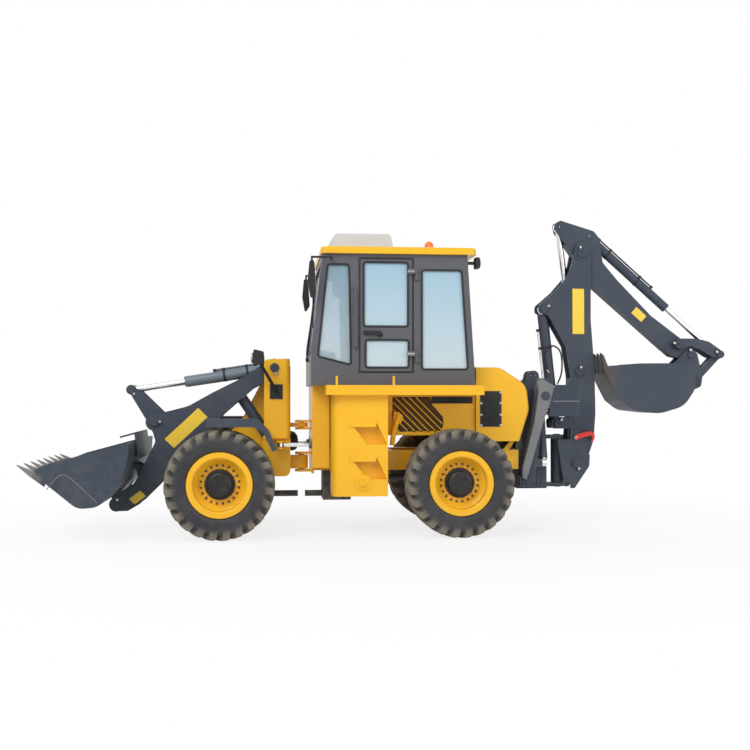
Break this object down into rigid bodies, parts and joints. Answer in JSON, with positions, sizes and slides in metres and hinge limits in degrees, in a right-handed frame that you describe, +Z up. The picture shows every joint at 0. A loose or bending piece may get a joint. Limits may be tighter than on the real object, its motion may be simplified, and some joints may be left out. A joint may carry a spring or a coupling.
{
  "type": "backhoe loader",
  "caption": "Articulated backhoe loader with a front loader bucket, a cab, a rear digging arm on a swing post, and stabiliser legs; steering, arms, buckets, doors and legs move.",
  "frame": {"origin": "on the ground under the middle of the machine's length and width", "axes": "+X to the rear, where the digging arm is; +Y to the machine's right; +Z up"},
  "size_m": [7.335, 2.158, 3.3086],
  "materials": {
    "paint": "gloss yellow machine paint",
    "slate": "semi-gloss slate grey paint",
    "cab_grey": "satin grey paint",
    "ram_grey": "light grey-blue paint",
    "axle_grey": "dark grey painted castings",
    "chrome": "hard chrome",
    "tyre": "dusty rubber",
    "seat": "dark seat cover",
    "lamp_black": "moulded black plastic",
    "glass": "pale tinted glass",
    "white": "white moulded plastic",
    "interior": "dark trim"
  },
  "bodies": {
    "rear_machine": {"rear_frame": "paint", "rear_driveline": "axle_grey", "side_tanks": "paint", "deck": "paint", "hood": "paint", "cab_frame": "cab_grey", "cab_glass": "glass", "cab_roof": "paint", "roof_unit": "white", "cab_fittings": "lamp_black", "cab_interior": "interior", "seat": "seat", "backhoe_frame": "slate", "lifting_eyes": "slate"},
    "front_machine": {"front_frame": "paint", "front_axle": "axle_grey", "front_fenders": "slate", "headlamps": "lamp_black"},
    "arms_body": {"loader_arms": "slate"},
    "rockers_body": {"rockers": "slate"},
    "links_body": {"bucket_links": "slate"},
    "bucket_body": {"loader_bucket": "slate"},
    "tilt_barrel_body": {"tilt_barrels": "ram_grey"},
    "tilt_rod_body": {"tilt_rods": "chrome"},
    "lift_barrel_body": {"lift_barrels": "ram_grey"},
    "lift_rod_body": {"lift_rods": "chrome"},
    "swing_body": {"swing_post": "slate"},
    "boom_body": {"boom": "slate"},
    "stick_body": {"stick": "slate"},
    "backhoe_bucket_body": {"backhoe_bucket": "slate"},
    "levers_body": {"tipping_levers": "slate"},
    "yoke_body": {"bucket_yoke": "slate"},
    "boom_barrel_body": {"boom_barrel": "slate"},
    "boom_rod_body": {"boom_rod": "chrome"},
    "stick_barrel_body": {"stick_barrel": "slate"},
    "stick_rod_body": {"stick_rod": "chrome"},
    "curl_barrel_body": {"curl_barrel": "slate"},
    "curl_rod_body": {"curl_rod": "chrome"},
    "door_left_body": {"door_left": "cab_grey", "door_glass_left": "glass"},
    "stabiliser_left_body": {"stabiliser_left": "slate"},
    "leg_left_barrel_body": {"leg_barrel_left": "slate"},
    "leg_left_rod_body": {"leg_rod_left": "chrome"},
    "steer_left_barrel_body": {"steer_barrel_left": "ram_grey"},
    "steer_left_rod_body": {"steer_rod_left": "chrome"},
    "wheel_front_left_body": {"tyre_front_left": "tyre", "rim_front_left": "paint"},
    "wheel_rear_left_body": {"tyre_rear_left": "tyre", "rim_rear_left": "paint"},
    "door_right_body": {"door_right": "cab_grey", "door_glass_right": "glass"},
    "stabiliser_right_body": {"stabiliser_right": "slate"},
    "leg_right_barrel_body": {"leg_barrel_right": "slate"},
    "leg_right_rod_body": {"leg_rod_right": "chrome"},
    "steer_right_barrel_body": {"steer_barrel_right": "ram_grey"},
    "steer_right_rod_body": {"steer_rod_right": "chrome"},
    "wheel_front_right_body": {"tyre_front_right": "tyre", "rim_front_right": "paint"},
    "wheel_rear_right_body": {"tyre_rear_right": "tyre", "rim_rear_right": "paint"}
  },
  "joints": [
    {"name": "steering", "type": "hinge", "parent": "rear_machine", "child": "front_machine", "pos_m": [-0.9595, 0, 0.86], "axis": [0, 0, 1], "range_deg": [-36, 36]},
    {"name": "wheel_front_left", "type": "hinge", "parent": "front_machine", "child": "wheel_front_left_body", "pos_m": [-1.7795, -0.8025, 0.5375], "axis": [0, 1, 0], "continuous": true},
    {"name": "wheel_front_right", "type": "hinge", "parent": "front_machine", "child": "wheel_front_right_body", "pos_m": [-1.7795, 0.8025, 0.5375], "axis": [0, 1, 0], "continuous": true},
    {"name": "wheel_rear_left", "type": "hinge", "parent": "rear_machine", "child": "wheel_rear_left_body", "pos_m": [0.5915, -0.8025, 0.5375], "axis": [0, 1, 0], "continuous": true},
    {"name": "wheel_rear_right", "type": "hinge", "parent": "rear_machine", "child": "wheel_rear_right_body", "pos_m": [0.5915, 0.8025, 0.5375], "axis": [0, 1, 0], "continuous": true},
    {"name": "lift", "type": "hinge", "parent": "front_machine", "child": "arms_body", "pos_m": [-1.2475, 0, 1.697], "axis": [0, 1, 0], "range_deg": [-7, 92]},
    {"name": "bucket_dump", "type": "hinge", "parent": "arms_body", "child": "bucket_body", "pos_m": [-2.8515, 0, 0.298], "axis": [0, -1, 0], "range_deg": [0, 95]},
    {"name": "rocker_pivot", "type": "hinge", "parent": "arms_body", "child": "rockers_body", "pos_m": [-2.4725, 0, 1.136], "axis": [0, -1, 0], "range_deg": [-68.09, 0.05]},
    {"name": "bucket_link_pivot", "type": "hinge", "parent": "rockers_body", "child": "links_body", "pos_m": [-2.1375, 0, 0.764], "axis": [0, -1, 0], "range_deg": [-0.05, 56.95]},
    {"name": "tilt_barrel_pivot", "type": "hinge", "parent": "arms_body", "child": "tilt_barrel_body", "pos_m": [-1.2475, 0, 1.697], "axis": [0, -1, 0], "range_deg": [-0.05, 0.155]},
    {"name": "tilt_rod_slide", "type": "slide", "parent": "tilt_barrel_body", "child": "tilt_rod_body", "axis": [-0.9882, 0, -0.1531], "range_m": [-0.46361, 0.0005]},
    {"name": "lift_barrel_pivot", "type": "hinge", "parent": "front_machine", "child": "lift_barrel_body", "pos_m": [-1.1895, 0, 0.8], "axis": [0, 1, 0], "range_deg": [-1.65, 21.06]},
    {"name": "lift_rod_slide", "type": "slide", "parent": "lift_barrel_body", "child": "lift_rod_body", "axis": [-0.5637, 0, 0.826], "range_m": [-0.0435, 0.56569]},
    {"name": "steer_left_barrel_pivot", "type": "hinge", "parent": "rear_machine", "child": "steer_left_barrel_body", "pos_m": [-0.3195, -0.34, 0.9], "axis": [0, 0, 1], "range_deg": [-9.8, 9.8]},
    {"name": "steer_left_rod_slide", "type": "slide", "parent": "steer_left_barrel_body", "child": "steer_left_rod_body", "axis": [-0.9999, -0.0115, 0], "range_m": [-0.21664, 0.21664]},
    {"name": "steer_right_barrel_pivot", "type": "hinge", "parent": "rear_machine", "child": "steer_right_barrel_body", "pos_m": [-0.3195, 0.34, 0.9], "axis": [0, 0, 1], "range_deg": [-9.8, 9.8]},
    {"name": "steer_right_rod_slide", "type": "slide", "parent": "steer_right_barrel_body", "child": "steer_right_rod_body", "axis": [-0.9999, 0.0115, 0], "range_m": [-0.21664, 0.21664]},
    {"name": "door_left_hinge", "type": "hinge", "parent": "rear_machine", "child": "door_left_body", "pos_m": [0.1705, -0.762, 1.8], "axis": [0, 0, 1], "range_deg": [0, 95]},
    {"name": "door_right_hinge", "type": "hinge", "parent": "rear_machine", "child": "door_right_body", "pos_m": [0.1705, 0.762, 1.8], "axis": [0, 0, -1], "range_deg": [0, 95]},
    {"name": "swing", "type": "hinge", "parent": "rear_machine", "child": "swing_body", "pos_m": [1.8105, 0, 0.476], "axis": [0, 0, 1], "range_deg": [-95, 95]},
    {"name": "boom", "type": "hinge", "parent": "swing_body", "child": "boom_body", "pos_m": [1.9875, 0, 0.677], "axis": [0, 1, 0], "range_deg": [0, 110]},
    {"name": "stick", "type": "hinge", "parent": "boom_body", "child": "stick_body", "pos_m": [2.0655, 0, 2.951], "axis": [0, 1, 0], "range_deg": [-110, 0]},
    {"name": "backhoe_curl", "type": "hinge", "parent": "stick_body", "child": "backhoe_bucket_body", "pos_m": [3.2935, 0, 1.855], "axis": [0, -1, 0], "range_deg": [0, 150]},
    {"name": "lever_pivot", "type": "hinge", "parent": "stick_body", "child": "levers_body", "pos_m": [3.1445, 0, 1.966], "axis": [0, -1, 0], "range_deg": [-0.05, 100.01]},
    {"name": "yoke_pivot", "type": "hinge", "parent": "levers_body", "child": "yoke_body", "pos_m": [3.6175, 0, 1.862], "axis": [0, -1, 0], "range_deg": [-12.09, 0.05]},
    {"name": "curl_barrel_pivot", "type": "hinge", "parent": "stick_body", "child": "curl_barrel_body", "pos_m": [2.1615, 0, 3.147], "axis": [0, -1, 0], "range_deg": [-0.05, 10.98]},
    {"name": "curl_rod_slide", "type": "slide", "parent": "curl_barrel_body", "child": "curl_rod_body", "axis": [0.7498, 0, -0.6617], "range_m": [-0.69053, 0.0005]},
    {"name": "boom_barrel_pivot", "type": "hinge", "parent": "swing_body", "child": "boom_barrel_body", "pos_m": [1.7855, 0, 1.11], "axis": [0, 1, 0], "range_deg": [-0.05, 120.41]},
    {"name": "boom_rod_slide", "type": "slide", "parent": "boom_barrel_body", "child": "boom_rod_body", "axis": [-0.1064, 0, 0.9943], "range_m": [-0.0005, 0.6843]},
    {"name": "stick_barrel_pivot", "type": "hinge", "parent": "boom_body", "child": "stick_barrel_body", "pos_m": [2.0365, 0, 1.661], "axis": [0, 1, 0], "range_deg": [-7.55, 0.05]},
    {"name": "stick_rod_slide", "type": "slide", "parent": "stick_barrel_body", "child": "stick_rod_body", "axis": [-0.1288, 0, 0.9917], "range_m": [-0.58945, 0.0005]},
    {"name": "stabiliser_left", "type": "hinge", "parent": "rear_machine", "child": "stabiliser_left_body", "pos_m": [1.3315, -0.365, 0.513], "axis": [-1, 0, 0], "range_deg": [-118, 0]},
    {"name": "leg_left_barrel_pivot", "type": "hinge", "parent": "rear_machine", "child": "leg_left_barrel_body", "pos_m": [1.5805, -0.158, 1.44], "axis": [-1, 0, 0], "range_deg": [-0.05, 10.29]},
    {"name": "leg_left_rod_slide", "type": "slide", "parent": "leg_left_barrel_body", "child": "leg_left_rod_body", "axis": [0, -0.2459, -0.9693], "range_m": [-0.0005, 0.27589]},
    {"name": "stabiliser_right", "type": "hinge", "parent": "rear_machine", "child": "stabiliser_right_body", "pos_m": [1.3315, 0.365, 0.513], "axis": [1, 0, 0], "range_deg": [-118, 0]},
    {"name": "leg_right_barrel_pivot", "type": "hinge", "parent": "rear_machine", "child": "leg_right_barrel_body", "pos_m": [1.5805, 0.158, 1.44], "axis": [1, 0, 0], "range_deg": [-0.05, 10.29]},
    {"name": "leg_right_rod_slide", "type": "slide", "parent": "leg_right_barrel_body", "child": "leg_right_rod_body", "axis": [0, 0.2459, -0.9693], "range_m": [-0.0005, 0.27589]}
  ],
  "couplings": [
    {"joint": "rocker_pivot", "follows": "bucket_dump", "ratio": -0.71624},
    {"joint": "bucket_link_pivot", "follows": "bucket_dump", "ratio": 0.59897},
    {"joint": "tilt_barrel_pivot", "follows": "bucket_dump", "ratio": 0.001106},
    {"joint": "tilt_rod_slide", "follows": "bucket_dump", "m_per_rad": -0.27931},
    {"joint": "lift_barrel_pivot", "follows": "lift", "ratio": 0.22835},
    {"joint": "lift_rod_slide", "follows": "lift", "m_per_rad": 0.35199},
    {"joint": "steer_left_barrel_pivot", "follows": "steering", "ratio": 0.27092},
    {"joint": "steer_left_rod_slide", "follows": "steering", "m_per_rad": -0.34401},
    {"joint": "steer_right_barrel_pivot", "follows": "steering", "ratio": 0.27092},
    {"joint": "steer_right_rod_slide", "follows": "steering", "m_per_rad": 0.34401},
    {"joint": "lever_pivot", "follows": "backhoe_curl", "ratio": 0.6664},
    {"joint": "yoke_pivot", "follows": "backhoe_curl", "ratio": -0.080295},
    {"joint": "curl_barrel_pivot", "follows": "backhoe_curl", "ratio": 0.07289},
    {"joint": "curl_rod_slide", "follows": "backhoe_curl", "m_per_rad": -0.26357},
    {"joint": "boom_barrel_pivot", "follows": "boom", "ratio": 1.0942},
    {"joint": "boom_rod_slide", "follows": "boom", "m_per_rad": 0.35617},
    {"joint": "stick_barrel_pivot", "follows": "stick", "ratio": 0.068182},
    {"joint": "stick_rod_slide", "follows": "stick", "m_per_rad": 0.30677},
    {"joint": "leg_left_barrel_pivot", "follows": "stabiliser_left", "ratio": -0.0868},
    {"joint": "leg_left_rod_slide", "follows": "stabiliser_left", "m_per_rad": -0.13372},
    {"joint": "leg_right_barrel_pivot", "follows": "stabiliser_right", "ratio": -0.0868},
    {"joint": "leg_right_rod_slide", "follows": "stabiliser_right", "m_per_rad": -0.13372}
  ]
}
